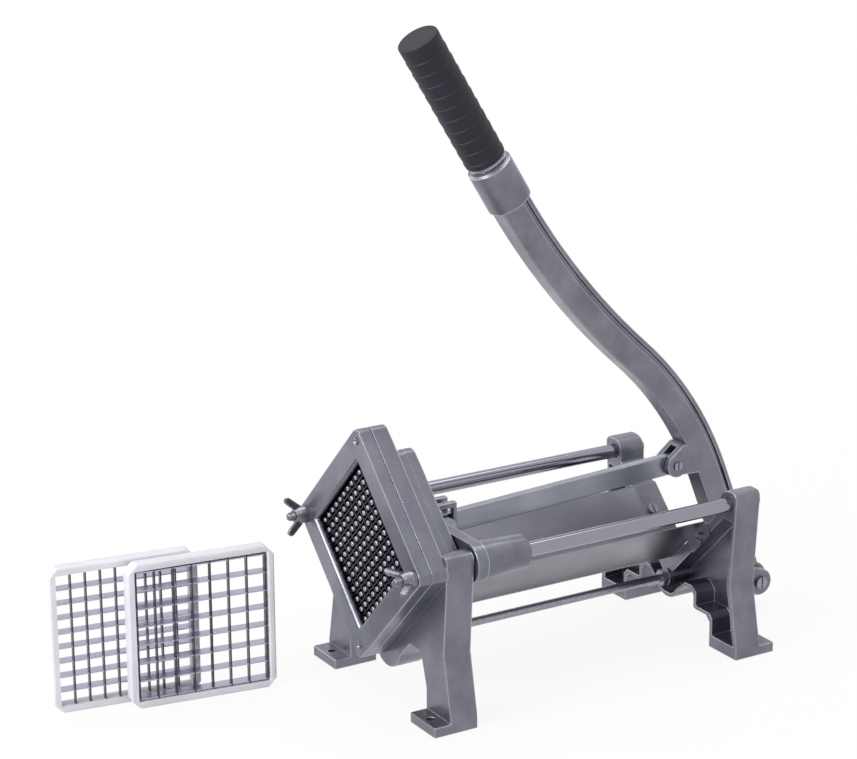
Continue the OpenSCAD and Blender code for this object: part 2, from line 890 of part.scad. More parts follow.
module lever() {
    color(cast_c)
    difference() {
        union() {
            across(-lever_w / 2, lever_w / 2) {
                lever_strip(-lever_front, lever_back);
                translate([pivot_y, pivot_z])
                    circle(pivot_boss_r);
                knuckle_shape();
            }
            across(-lever_w / 4, lever_w / 4)
                lever_strip(lever_back - eps, lever_back + neck_t + eps);
            across(-lever_w * 0.375, lever_w * 0.375)
                lever_strip(lever_back + neck_t, lever_back + neck_t + rib_t);
            lever_top()
                translate([0, lever_mid(), -collar_sink])
                    cylinder(d = collar_d, h = collar_l + collar_sink - collar_bevel);
            lever_top()
                translate([0, lever_mid(), collar_l - collar_bevel - eps])
                    cylinder(d1 = collar_d, d2 = collar_d - 2 * collar_bevel, h = collar_bevel + eps);
        }
        across(-link_t / 2 - gap, link_t / 2 + gap)
            knuckle_slot();
        bar_x(pin_screw_d + 2 * rod_fit, knuckle_y, knuckle_z, -lever_w, lever_w);
        bar_x(pivot_d + 2 * bush_t, pivot_y, pivot_z, -lever_w, lever_w);
        lever_top()
            translate([0, lever_mid(), collar_l * 0.4])
                cylinder(d = stub_d + eps, h = collar_l);
    }
}

module lever_bush() {
    color(brass_c)
    difference() {
        bar_x(pivot_d + 2 * bush_t, pivot_y, pivot_z, -lever_w / 2, lever_w / 2);
        bar_x(pivot_d + 2 * fit, pivot_y, pivot_z, -lever_w, lever_w);
    }
}

module link_screw() {
    color(steel_c) {
        bar_x(pin_screw_d, knuckle_y, knuckle_z, -lever_w / 2 - pin_screw_d, lever_w / 2 + eps);
        translate([lever_w / 2, knuckle_y, knuckle_z])
            rotate([0, 90, 0])
                slot_head(pin_screw_d * 1.3, head_t / 2);
    }
}

module link_nut() {
    color(steel_c)
    translate([-lever_w / 2, knuckle_y, knuckle_z])
        rotate([0, -90, 0])
            difference() {
                cylinder(d = pin_screw_d * 1.6 / cos(30), h = pin_screw_d * 0.8, $fn = 6);
                translate([0, 0, -over])
                    cylinder(d = pin_screw_d + eps, h = pin_screw_d + 2 * over);
            }
}

module handle_stub() {
    color(steel_c)
    lever_top()
        translate([0, lever_mid(), 0]) {
            translate([0, 0, collar_l])
                cylinder(d = collar_d - 2 * collar_bevel, h = stub_out);
            translate([0, 0, collar_l * 0.4])
                cylinder(d = stub_d, h = collar_l * 0.6 + stub_out + grip_l * 0.6);
        }
}

module grip() {
    color(black_c)
    lever_top()
        translate([0, lever_mid(), collar_l + stub_out])
            difference() {
                union() {
                    cylinder(d1 = grip_d - 2 * grip_bevel, d2 = grip_d, h = grip_bevel);
                    translate([0, 0, grip_bevel])
                        cylinder(d = grip_d, h = grip_l - 2 * grip_bevel);
                    translate([0, 0, grip_l - grip_bevel])
                        cylinder(d1 = grip_d, d2 = grip_d - 2 * grip_bevel, h = grip_bevel);
                }
                translate([0, 0, -over])
                    cylinder(d = stub_d + eps, h = grip_l * 0.6 + over + fit);
            }
}

module clamp_plate() {
    m = mouth_side / 2;
    color(cast_c)
    difference() {
        along(plate_front, plate_back - fit)
            diamond(plate_side, plate_r);
        along(cart_front, plate_back + over)
            translate([0, head_z])
                rotate(45)
                    cart_shape(cart_side + 2 * gap, cart_bevel);
        along(plate_front - over, cart_front + over)
            translate([0, head_z])
                rotate(45)
                    square(mouth_side, center = true);
        translate([0, plate_front + 2 * mouth_bevel, head_z])
            rotate([90, 0, 0])
                cylinder(r1 = (m - mouth_bevel) * root2, r2 = (m + 2 * mouth_bevel) * root2,
                    h = 3 * mouth_bevel, $fn = 4);
        both_sides()
            bar_y(stud_d + 2 * gap, stud_x, head_z, plate_front - over, plate_back + over);
        for (z = [head_z - stud_x, head_z + stud_x])
            bar_y(pin_d + 2 * fit, 0, z, plate_front - over, plate_back + over);
    }
}

// Frame of a cartridge, drawn flat around the origin with its face up.
module cart_frame() {
    linear_extrude(cart_t)
        difference() {
            cart_shape(cart_side, cart_bevel);
            square(cart_open, center = true);
        }
}

// Parallel blade strips, drawn flat around the origin, with a row of openings on
// the middle line.
module strips(pitch, t, depth) {
    side = floor((cart_open / 2 - strip_t) / pitch + 1 / 2);
    for (i = [1 : side], j = [-1, 1])
        translate([j * (i - 1 / 2) * pitch - t / 2, -cart_open / 2, 0])
            cube([t, cart_open, depth]);
}

// Shallow strips, flush with the front of the deep ones.
module blades_a(pitch) {
    translate([0, 0, (cart_t - strip_depth) / 2])
        strips(pitch, strip_t, strip_depth / 2);
}

// Deep strips, slotted for the shallow ones.
module blades_b(pitch) {
    translate([0, 0, (cart_t - strip_depth) / 2])
        difference() {
            rotate(90)
                strips(pitch, strip_t, strip_depth);
            translate([0, 0, -over])
                strips(pitch, strip_t + 2 * fit, strip_depth / 2 + over);
        }
}

// Puts a flat cartridge into the head, turned 45 degrees, face to the front.
module in_head() {
    translate([0, cart_front, head_z])
        rotate([90, 45, 0])
            mirror([0, 0, 1])
                children();
}

module fine_frame() {
    color(white_c)
    in_head()
        cart_frame();
}

module fine_blades_a() {
    color(blade_c)
    in_head()
        blades_a(fine_pitch);
}

module fine_blades_b() {
    color(blade_c)
    in_head()
        blades_b(fine_pitch);
}

module stud_washers() {
    color(steel_c)
    both_sides()
        difference() {
            bar_y(stud_d * 2, stud_x, head_z, plate_front - wash_t, plate_front);
            bar_y(stud_d + 2 * gap, stud_x, head_z, plate_front - 2 * over - wash_t, plate_front + over);
        }
}

// Wing nut around a stud along the length, with flared wings on both sides.
module wing_nut() {
    tip_r = wing_span * 0.12;
    tip_x = wing_span / 2 - tip_r;
    tip_y = -wash_t - nut_h - tip_r * 0.9;
    base_d = stud_d * 2;
    color(steel_c)
    difference() {
        union() {
            translate([0, -wash_t, 0])
                rotate([90, 0, 0])
                    cylinder(d1 = base_d, d2 = base_d * 0.76, h = nut_h);
            both_sides()
                translate([0, 0, -wing_t / 2])
                    linear_extrude(wing_t) {
                        polygon([[base_d * 0.36, -wash_t - slot_t], [base_d * 0.56, -wash_t - nut_h * 0.35],
                            [tip_x + tip_r * 0.9, tip_y + tip_r * 0.3], [tip_x - tip_r * 0.75, tip_y - tip_r * 0.55],
                            [base_d * 0.34, -wash_t - nut_h * 0.88]]);
                        translate([tip_x, tip_y])
                            circle(tip_r);
                    }
        }
        rotate([90, 0, 0])
            cylinder(d = stud_d + 2 * fit, h = stud_out);
    }
}

module wing_nut_left() {
    translate([-stud_x, plate_front - fit, head_z])
        rotate([0, wing_turn_left, 0])
            wing_nut();
}

module wing_nut_right() {
    translate([stud_x, plate_front - fit, head_z])
        rotate([0, wing_turn_right, 0])
            wing_nut();
}

// Stands a flat cartridge on the table at a place, its face to the near side.
module standing(x, y) {
    translate([x, y, cart_side / 2])
        rotate([0, 0, -spare_turn])
            rotate([90, 0, -90])
                translate([0, 0, -cart_t / 2])
                    children();
}

module medium_frame() {
    color(white_c)
    standing(medium_x, medium_y)
        cart_frame();
}

module medium_blades_a() {
    color(blade_c)
    standing(medium_x, medium_y)
        blades_a(medium_pitch);
}

module medium_blades_b() {
    color(blade_c)
    standing(medium_x, medium_y)
        blades_b(medium_pitch);
}

module coarse_frame() {
    color(white_c)
    standing(coarse_x, coarse_y)
        cart_frame();
}

module coarse_blades_a() {
    color(blade_c)
    standing(coarse_x, coarse_y)
        blades_a(coarse_pitch);
}

module coarse_blades_b() {
    color(blade_c)
    standing(coarse_x, coarse_y)
        blades_b(coarse_pitch);
}

front_frame();
rear_frame();
guide_rods();
rod_screws();
tie_rod();
tie_rod_nuts();
trough();
trough_screws();
wall_screws();
clamp_studs();
locating_pins();
pivot_bolt();
pivot_nut();
pivot_washers();
carriage();
slide_bushes();
pusher_block();
pusher_screws();
link_bar();
link_front_pin();
lever();
lever_bush();
link_screw();
link_nut();
handle_stub();
grip();
clamp_plate();
fine_frame();
fine_blades_a();
fine_blades_b();
stud_washers();
wing_nut_left();
wing_nut_right();
medium_frame();
medium_blades_a();
medium_blades_b();
coarse_frame();
coarse_blades_a();
coarse_blades_b();
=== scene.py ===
import math

import bmesh
import bpy
from mathutils import Matrix, Vector


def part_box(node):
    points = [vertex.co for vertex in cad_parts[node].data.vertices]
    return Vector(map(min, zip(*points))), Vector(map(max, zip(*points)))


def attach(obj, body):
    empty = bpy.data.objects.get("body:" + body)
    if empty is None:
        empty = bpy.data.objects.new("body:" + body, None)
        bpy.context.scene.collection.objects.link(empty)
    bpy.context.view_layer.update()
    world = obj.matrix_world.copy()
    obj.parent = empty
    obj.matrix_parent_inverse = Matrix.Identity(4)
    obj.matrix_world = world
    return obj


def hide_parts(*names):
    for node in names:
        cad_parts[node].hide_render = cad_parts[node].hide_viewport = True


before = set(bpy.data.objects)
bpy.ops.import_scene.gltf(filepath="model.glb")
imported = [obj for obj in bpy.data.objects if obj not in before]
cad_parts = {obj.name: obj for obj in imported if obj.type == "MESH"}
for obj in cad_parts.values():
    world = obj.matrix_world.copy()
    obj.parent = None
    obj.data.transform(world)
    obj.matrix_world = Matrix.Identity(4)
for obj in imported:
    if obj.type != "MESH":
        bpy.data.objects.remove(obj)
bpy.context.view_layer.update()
bpy.context.scene.view_settings.view_transform = "Standard"

# Sizes of pieces are typed in millimetres, and MM turns them to metres
MM = 0.001
# Closer than this, in metres, counts as the same place
TOUCH = 1e-6
# Faces that turn less than the first angle are merged into one, edges sharper
# than the second are rounded, and edges between flats stay sharp from the third
FLAT_ANGLE = math.radians(0.6)
ROUNDED_ANGLE = math.radians(35)
CREASE_ANGLE = math.radians(4)
# Faces over 90 square mm are flats, and edges under 1.5 mm end a rounding
FLAT_AREA = 90 * MM * MM
SHORT_EDGE = 1.5 * MM


def srgb(code):
    """Linear colour of an sRGB hex value such as "8c8e94"."""
    out = []
    for i in (0, 2, 4):
        c = int(code[i:i + 2], 16) / 255
        out.append(c / 12.92 if c <= 0.04045 else ((c + 0.055) / 1.055) ** 2.4)
    return (*out, 1.0)


def add(tree, kind, links=None, stops=None, **settings):
    """Adds a node with its settings and colour stops, and links its inputs."""
    node = tree.nodes.new(kind)
    for key, value in settings.items():
        if hasattr(node, key):
            setattr(node, key, value)
        else:
            node.inputs[key.replace("_", " ")].default_value = value
    for i, (place, value) in enumerate(stops or ()):
        while len(node.color_ramp.elements) <= i:
            node.color_ramp.elements.new(1.0)
        stop = node.color_ramp.elements[i]
        stop.position = place
        stop.color = srgb(value) if isinstance(value, str) else (value, value, value, 1)
    for key, source in (links or {}).items():
        tree.links.new(source, node.inputs[key])
    return node


def shift(x, y, z):
    """A move by millimetres."""
    return Matrix.Translation((x * MM, y * MM, z * MM))


def spin(degrees, axis):
    """A turn about one axis."""
    return Matrix.Rotation(math.radians(degrees), 4, axis)


def in_mm(corners):
    """Corners in millimetres."""
    return [corner / MM for corner in corners]


def new_material(name):
    """An empty material and its node tree."""
    mat = bpy.data.materials.new(name)
    mat.use_nodes = True
    mat.node_tree.nodes.clear()
    return mat, mat.node_tree


# Die-cast aluminium, shot blasted or tumbled: an even grey with a grain of
# 0.7 mm, cloudy patches of 3 cm that differ in gloss, a painted highlight that
# lightens the rounded edges, and painted shade that darkens the corners.
def blasted_casting(name, dark, light, rough):
    mat, tree = new_material(name)
    at = add(tree, "ShaderNodeTexCoord").outputs["Object"]
    cloud = add(tree, "ShaderNodeTexNoise", {"Vector": at}, Scale=34.0, Detail=5.0, Roughness=0.6)
    cloud = cloud.outputs["Fac"]
    grain = add(tree, "ShaderNodeTexNoise", {"Vector": at}, Scale=1400.0, Detail=3.0, Roughness=0.6)
    grain = grain.outputs["Fac"]
    colour = add(tree, "ShaderNodeValToRGB", {"Fac": cloud}, [(0.3, dark), (0.7, light)]).outputs["Color"]
    speck = add(tree, "ShaderNodeValToRGB", {"Fac": grain}, [(0.35, 0.9), (0.65, 1.0)]).outputs["Color"]
    grained = add(tree, "ShaderNodeMixRGB", {"Color1": colour, "Color2": speck},
                  blend_type="MULTIPLY", Fac=1.0).outputs["Color"]
    # Painted shade: ambient occlusion within 2.5 mm darkens the colour in corners, seams and recesses
    nook = add(tree, "ShaderNodeAmbientOcclusion", samples=4, Distance=2.5 * MM).outputs["AO"]
    corner_shade = add(tree, "ShaderNodeValToRGB", {"Fac": nook}, [(0.3, 0.55), (0.8, 1.0)]).outputs["Color"]
    # Painted highlight: where the rounded normal turns away from the face's own normal near an edge, a pale
    # grey (d2d3da) is mixed in
    soft = add(tree, "ShaderNodeBevel", samples=4, Radius=1.5 * MM).outputs["Normal"]
    flat = add(tree, "ShaderNodeNewGeometry").outputs["Normal"]
    edge = add(tree, "ShaderNodeVectorMath", {0: soft, 1: flat}, operation="DOT_PRODUCT").outputs["Value"]
    edge_highlight = add(tree, "ShaderNodeValToRGB", {"Fac": edge}, [(0.86, 0.8), (0.985, 0.0)]).outputs["Color"]
    highlighted = add(tree, "ShaderNodeMixRGB", {"Fac": edge_highlight, "Color1": grained}, Color2=srgb("d2d3da"))
    tint = add(tree, "ShaderNodeMixRGB", {"Color1": highlighted.outputs["Color"], "Color2": corner_shade},
               blend_type="MULTIPLY", Fac=1.0)
    gloss = add(tree, "ShaderNodeValToRGB", {"Fac": cloud}, [(0.3, rough + 0.07), (0.7, rough - 0.07)])
    bump = add(tree, "ShaderNodeBump", {"Height": grain}, Strength=0.3, Distance=0.1 * MM)
    shader = add(tree, "ShaderNodeBsdfPrincipled", {"Base Color": tint.outputs["Color"],
                 "Roughness": gloss.outputs["Color"], "Normal": bump.outputs["Normal"]}, Metallic=0.85)
    add(tree, "ShaderNodeOutputMaterial", {"Surface": shader.outputs["BSDF"]})
    return mat


# Ground and polished steel rod: glossy, with grinding marks of 0.3 mm round it.
def ground_rod():
    mat, tree = new_material("ground_steel_rod")
    at = add(tree, "ShaderNodeTexCoord").outputs["Object"]
    place = add(tree, "ShaderNodeMapping", {"Vector": at}, Scale=(20.0, 3000.0, 20.0)).outputs["Vector"]
    lines = add(tree, "ShaderNodeTexNoise", {"Vector": place}, Scale=1.0, Detail=2.0).outputs["Fac"]
    colour = add(tree, "ShaderNodeValToRGB", {"Fac": lines}, [(0.2, "8e8e99"), (0.8, "94949f")])
    gloss = add(tree, "ShaderNodeValToRGB", {"Fac": lines}, [(0.2, 0.1), (0.8, 0.13)])
    shader = add(tree, "ShaderNodeBsdfPrincipled", {"Base Color": colour.outputs["Color"],
                 "Roughness": gloss.outputs["Color"]}, Metallic=1.0)
    add(tree, "ShaderNodeOutputMaterial", {"Surface": shader.outputs["BSDF"]})
    return mat


# Cold-rolled stainless sheet or drawn flat bar: a soft shine, with rolling lines
# along its length and faint rubbed patches.
def rolled_steel(name, dark, light, rough):
    mat, tree = new_material(name)
    at = add(tree, "ShaderNodeTexCoord").outputs["Object"]
    place = add(tree, "ShaderNodeMapping", {"Vector": at}, Scale=(1500.0, 9.0, 1500.0)).outputs["Vector"]
    lines = add(tree, "ShaderNodeTexNoise", {"Vector": place}, Scale=1.0, Detail=3.0).outputs["Fac"]
    cloud = add(tree, "ShaderNodeTexNoise", {"Vector": at}, Scale=22.0, Detail=4.0).outputs["Fac"]
    mixed = add(tree, "ShaderNodeMixRGB", {"Color1": lines, "Color2": cloud}, Fac=0.7).outputs["Color"]
    colour = add(tree, "ShaderNodeValToRGB", {"Fac": mixed}, [(0.35, dark), (0.65, light)])
    gloss = add(tree, "ShaderNodeValToRGB", {"Fac": mixed}, [(0.35, rough + 0.05), (0.65, rough - 0.05)])
    bump = add(tree, "ShaderNodeBump", {"Height": lines}, Strength=0.08, Distance=0.04 * MM)
    shader = add(tree, "ShaderNodeBsdfPrincipled", {"Base Color": colour.outputs["Color"],
                 "Roughness": gloss.outputs["Color"], "Normal": bump.outputs["Normal"]}, Metallic=1.0)
    add(tree, "ShaderNodeOutputMaterial", {"Surface": shader.outputs["BSDF"]})
    return mat


# Zinc-plated screw or nut: bright grey when new and darker when worn, with a
# faint crystalline mottle of 2 mm.
def zinc_plate(name, dark, light):
    mat, tree = new_material(name)
    at = add(tree, "ShaderNodeTexCoord").outputs["Object"]
    mottle = add(tree, "ShaderNodeTexNoise", {"Vector": at}, Scale=500.0, Detail=2.0).outputs["Fac"]
    colour = add(tree, "ShaderNodeValToRGB", {"Fac": mottle}, [(0.3, dark), (0.7, light)])
    gloss = add(tree, "ShaderNodeValToRGB", {"Fac": mottle}, [(0.3, 0.32), (0.7, 0.24)])
    shader = add(tree, "ShaderNodeBsdfPrincipled", {"Base Color": colour.outputs["Color"],
                 "Roughness": gloss.outputs["Color"]}, Metallic=1.0)
    add(tree, "ShaderNodeOutputMaterial", {"Surface": shader.outputs["BSDF"]})
    return mat


# Hardened blade strip, ground dull, with a mottle of 1 mm from the grinding; a
# darker copy paints shade on blades and a paler copy paints the light they catch.
def blade_strip(name, dark, light):
    mat, tree = new_material(name)
    at = add(tree, "ShaderNodeTexCoord").outputs["Object"]
    mottle = add(tree, "ShaderNodeTexNoise", {"Vector": at}, Scale=900.0, Detail=2.0).outputs["Fac"]
    colour = add(tree, "ShaderNodeValToRGB", {"Fac": mottle}, [(0.35, dark), (0.65, light)])
    gloss = add(tree, "ShaderNodeValToRGB", {"Fac": mottle}, [(0.35, 0.36), (0.65, 0.28)])
    shader = add(tree, "ShaderNodeBsdfPrincipled", {"Base Color": colour.outputs["Color"],
                 "Roughness": gloss.outputs["Color"]}, Metallic=1.0)
    add(tree, "ShaderNodeOutputMaterial", {"Surface": shader.outputs["BSDF"]})
    return mat


# Sintered bronze bush: warm and matt, with pores of about 0.3 mm.
def sintered_bronze():
    mat, tree = new_material("sintered_bronze")
    at = add(tree, "ShaderNodeTexCoord").outputs["Object"]
    pores = add(tree, "ShaderNodeTexNoise", {"Vector": at}, Scale=3000.0, Detail=1.0).outputs["Fac"]
    colour = add(tree, "ShaderNodeValToRGB", {"Fac": pores}, [(0.35, "776645"), (0.65, "9b8459")])
    shader = add(tree, "ShaderNodeBsdfPrincipled", {"Base Color": colour.outputs["Color"]}, Metallic=1.0,
                 Roughness=0.45)
    add(tree, "ShaderNodeOutputMaterial", {"Surface": shader.outputs["BSDF"]})
    return mat


# Moulded acetal: milky white and waxy, with a grain of 0.5 mm, and light passes
# a little way in.
def acetal():
    mat, tree = new_material("white_acetal")
    at = add(tree, "ShaderNodeTexCoord").outputs["Object"]
    cloud = add(tree, "ShaderNodeTexNoise", {"Vector": at}, Scale=45.0, Detail=3.0).outputs["Fac"]
    grain = add(tree, "ShaderNodeTexNoise", {"Vector": at}, Scale=1800.0, Detail=1.0).outputs["Fac"]
    colour = add(tree, "ShaderNodeValToRGB", {"Fac": cloud}, [(0.3, "cfcfd5"), (0.7, "dadadf")])
    bump = add(tree, "ShaderNodeBump", {"Height": grain}, Strength=0.1, Distance=0.06 * MM)
    shader = add(tree, "ShaderNodeBsdfPrincipled", {"Base Color": colour.outputs["Color"],
                 "Normal": bump.outputs["Normal"]}, Roughness=0.42, IOR=1.48, Subsurface_Weight=0.15,
                 Subsurface_Scale=3 * MM)
    add(tree, "ShaderNodeOutputMaterial", {"Surface": shader.outputs["BSDF"]})
    return mat


# Moulded black rubber: nearly matt, with a pebble of 0.4 mm and a faint bloom.
def rubber():
    mat, tree = new_material("black_rubber")
    at = add(tree, "ShaderNodeTexCoord").outputs["Object"]
    cloud = add(tree, "ShaderNodeTexNoise", {"Vector": at}, Scale=60.0, Detail=4.0).outputs["Fac"]
    pebble = add(tree, "ShaderNodeTexVoronoi", {"Vector": at}, Scale=2500.0).outputs["Distance"]
    colour = add(tree, "ShaderNodeValToRGB", {"Fac": cloud}, [(0.3, "0d0d1a"), (0.7, "151524")])
    bump = add(tree, "ShaderNodeBump", {"Height": pebble}, Strength=0.25, Distance=0.1 * MM)
    shader = add(tree, "ShaderNodeBsdfPrincipled", {"Base Color": colour.outputs["Color"],
                 "Normal": bump.outputs["Normal"]}, Roughness=0.58, IOR=1.45)
    add(tree, "ShaderNodeOutputMaterial", {"Surface": shader.outputs["BSDF"]})
    return mat


CAST = blasted_casting("blasted_cast_aluminium", "6d6e79", "868791", 0.31)
PEG = blasted_casting("tumbled_cast_aluminium", "8a8a92", "a0a0a8", 0.26)
ROD = ground_rod()
SHEET = rolled_steel("rolled_stainless_sheet", "7a7b84", "8f9099", 0.33)
BAR = rolled_steel("drawn_steel_bar", "8f919c", "a3a5b0", 0.32)
ZINC = zinc_plate("zinc_plated_steel", "8a8a93", "9d9da5")
DULL_ZINC = zinc_plate("worn_zinc_plate", "6c6c74", "8a8a93")
# Painted light and shade: one blade steel as a dark shaded copy and a pale lit copy
BLADE = blade_strip("ground_blade_steel", "3a3a47", "4e4e5c")
BRIGHT_BLADE = blade_strip("lit_blade_steel", "a2a2b4", "b6b6c8")
BRONZE = sintered_bronze()
ACETAL = acetal()
RUBBER = rubber()


def settle(name, bm, mat, body, nodes=(), smooth=35.0):
    """Turns a bmesh into a piece that rides on a body and stands for nodes."""
    mesh = bpy.data.meshes.new(name)
    bm.to_mesh(mesh)
    bm.free()
    # A copy of a CAD mesh brings its own normals and flat faces along
    for layer in ("custom_normal", "sharp_face"):
        if layer in mesh.attributes:
            mesh.attributes.remove(mesh.attributes[layer])
    mesh.shade_smooth()
    mesh.set_sharp_from_angle(angle=math.radians(smooth))
    mesh.materials.clear()
    mesh.materials.append(mat)
    piece = bpy.data.objects.new(name, mesh)
    bpy.context.collection.objects.link(piece)
    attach(piece, body)
    if nodes:
        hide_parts(*nodes)
    return piece


def crowded(face, chosen, width):
    """Chosen edges of a face whose rounding would cross another's."""
    out = set()
    for loop in face.loops:
        edge = loop.edge
        length = edge.calc_length()
        if edge not in chosen or length < TOUCH:
            continue
        start = loop.vert.co
        along = (loop.link_loop_next.vert.co - start) / length
        inward = face.normal.cross(along)
        for other in face.loops:
            mine = [e for e in (other.edge, other.link_loop_prev.edge) if e in chosen]
            reach = other.vert.co - start
            if (mine and other.vert not in edge.verts and TOUCH < reach.dot(inward) < 2 * width
                    and -width / 2 < reach.dot(along) < length + width / 2):
                out.update(e for e in mine if e.calc_length() <= length)
                if any(e.calc_length() > length for e in mine):
                    out.add(edge)
    return out


def cramped(face, chosen, width):
    """Chosen edges that would use up an edge of a face from its two ends."""
    # The least sine or half angle to divide by, and the share of an edge to use up
    least, share = 0.02, 0.95
    out = set()
    for loop in face.loops:
        edge, after = loop.edge, loop.link_loop_next
        used, near = 0, []
        for corner, other in ((loop, loop.link_loop_prev.edge), (after, after.edge)):
            angle = corner.calc_angle() if corner.is_convex else math.tau - corner.calc_angle()
            if edge in chosen and other in chosen:
                step = width / math.tan(max(angle / 2, least))
            elif edge in chosen:
                step = width / math.tan(angle) if abs(math.sin(angle)) > least else 0
            elif other in chosen:
                step = width / max(abs(math.sin(angle)), least)
            else:
                continue
            used += step
            if step > 0 and other in chosen:
                near.append(other)
        if used > share * edge.calc_length():
            out.update(near)
            out.add(edge)
    return out & chosen


def roundable(bm, width):
    """Sharp edges with room on all their faces to be rounded by that width."""
    chosen = {e for e in bm.edges if e.is_manifold and e.calc_face_angle(0) > ROUNDED_ANGLE}
    for face in bm.faces:
        mine = [e for e in face.edges if e in chosen]
        if face.calc_area() < width * sum(e.calc_length() for e in mine):
            chosen.difference_update(mine)
    drop = {None}
    while drop:
        drop = set().union(*(cramped(face, chosen, width) for face in bm.faces))
        if not drop:
            drop = set().union(*(crowded(face, chosen, width) for face in bm.faces))
        chosen -= drop
    return chosen


def creased(bm):
    """Edges between two flats, and short ones where a rounding ends at them."""
    big = {f for f in bm.faces if f.calc_area() > FLAT_AREA}
    out = []
    for edge in bm.edges:
        if not edge.is_manifold or edge.calc_face_angle(0) < CREASE_ANGLE:
            continue
        mine = [f for f in edge.link_faces if f in big]
        ends = {f for v in edge.verts for f in v.link_faces} & big
        tip = mine and edge.calc_length() < SHORT_EDGE
        if len(mine) == 2 or (tip and any(f.normal.angle(mine[0].normal) > CREASE_ANGLE for f in ends)):
            out.append(edge.index)
    return out


def dress(node, mat, body, width):
    """The node's own solid, with its edges rounded as cast or moulded."""
    bm = bmesh.new()
    bm.from_mesh(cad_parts[node].data)
    bmesh.ops.remove_doubles(bm, verts=bm.verts, dist=2 * TOUCH)
    bmesh.ops.dissolve_limit(bm, angle_limit=FLAT_ANGLE, verts=bm.verts, edges=bm.edges, delimit=set())
    bevel(bm, sorted(roundable(bm, width * MM), key=lambda e: e.index), width, 2, False)
    bm.edges.index_update()
    creases = creased(bm)
    piece = settle(node + "_skin", bm, mat, body, (node,), 50.0)
    for i in creases:
        piece.data.edges[i].use_edge_sharp = True
    flat = piece.modifiers.new("flat_faces", "WEIGHTED_NORMAL")
    flat.keep_sharp = True


def repaint(node, mat):
    """Gives a node's own solid a material."""
    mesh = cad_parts[node].data
    for i in range(len(mesh.materials)):
        mesh.materials[i] = mat
    if not mesh.materials:
        mesh.materials.append(mat)


def turned(bm, profile, steps=48):
    """Turns a profile of radius and height around Z into a closed skin."""
    verts = [bm.verts.new((r * MM, 0, z * MM)) for r, z in profile]
    edges = [bm.edges.new(pair) for pair in zip(verts, verts[1:])]
    bmesh.ops.spin(bm, geom=verts + edges, cent=(0, 0, 0), axis=(0, 0, 1), dvec=(0, 0, 0), angle=math.tau,
                   steps=steps, use_merge=True, use_duplicate=False)
    bmesh.ops.remove_doubles(bm, verts=bm.verts, dist=TOUCH)
    bmesh.ops.recalc_face_normals(bm, faces=bm.faces)


def bevel(bm, edges, width, segments=2, clamp=True):
    """Rounds edges by a width in millimetres."""
    bmesh.ops.bevel(bm, geom=list(edges), offset=width * MM, segments=segments, profile=0.5, affect="EDGES",
                    material=-1, clamp_overlap=clamp)


# Cast, moulded and drawn pieces, with their bodies, slots and roundings in mm
for node, mat, body, slot, width in (
        ("front_frame", CAST, "stand", "cast_metal", 0.7),
        ("rear_frame", CAST, "stand", "cast_metal", 0.7),
        ("clamp_plate", CAST, "clamp", "cast_metal", 0.8),
        ("carriage", CAST, "slider", "cast_metal", 0.7),
        ("lever", CAST, "lever", "cast_metal", 0.5),
        ("link_bar", BAR, "link", "steel", 0.6),
        ("medium_frame", ACETAL, "spare_medium", "white_plastic", 1.6),
        ("coarse_frame", ACETAL, "spare_coarse", "white_plastic", 1.6),
        ("fine_frame", ACETAL, "clamp", "white_plastic", 0.8)):
    dress(node, mat, body, width)

for mat, nodes in (
        (ROD, ("guide_rods",)),
        (SHEET, ("trough",)),
        (ZINC, ("tie_rod", "tie_rod_nuts", "rod_screws", "trough_screws", "wall_screws", "pivot_bolt",
                "pivot_nut", "pusher_screws", "link_front_pin", "link_screw", "link_nut", "stud_washers")),
        (BRONZE, ("pivot_washers", "slide_bushes", "lever_bush")),
        (BLADE, ("fine_blades_a", "fine_blades_b", "medium_blades_a", "coarse_blades_a")),
        (BRIGHT_BLADE, ("medium_blades_b", "coarse_blades_b"))):
    for node in nodes:
        repaint(node, mat)

# The grip's axis follows the lever's centre line: a straight foot that leans from
# the pivot, a bend, a wider bend back, and a small step to the collar's middle
FOOT_LEAN, FOOT_LENGTH = 21.3, 91
FIRST_BEND, FIRST_RADIUS = 26.6, 254
SECOND_BEND, SECOND_RADIUS = -16.6, 540
COLLAR_STEP = 2.4
PIVOT = sum(in_mm(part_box("pivot_washers")), Vector()) / 2
GRIP_AXIS = (
    shift(*PIVOT) @ spin(FOOT_LEAN, "X") @ shift(0, 0, FOOT_LENGTH)
    @ shift(0, -FIRST_RADIUS, 0) @ spin(FIRST_BEND, "X") @ shift(0, FIRST_RADIUS + SECOND_RADIUS, 0)
    @ spin(SECOND_BEND, "X") @ shift(0, -SECOND_RADIUS - COLLAR_STEP, 0))
# Where the grip starts along that axis
GRIP_START = 31.6


def rubber_grip():
    """Sleeve with ten stepped finger rings, closed at its flat top."""
    length, bore, depth, rings, pitch = 95.6, 5.7, 56, 10, 8.9
    crest, swell, root = 13.95, 13.75, 13.5
    end = GRIP_START + length
    profile = [(bore, GRIP_START + depth), (bore, GRIP_START), (13.0, GRIP_START), (13.7, GRIP_START + 0.7)]
    for k in range(rings):
        z = GRIP_START + 4.2 + k * pitch
        profile += [(crest, z - 1.2), (crest, z), (root, z + 0.6), (swell, z + pitch / 2)]
    profile += [(13.9, end - 1.6), (13.6, end - 0.5), (13.0, end), (0, end)]
    bm = bmesh.new()
    turned(bm, profile, 64)
    bmesh.ops.transform(bm, matrix=GRIP_AXIS, verts=bm.verts)
    settle("ringed_grip", bm, RUBBER, "lever", ("grip",), 24.0)


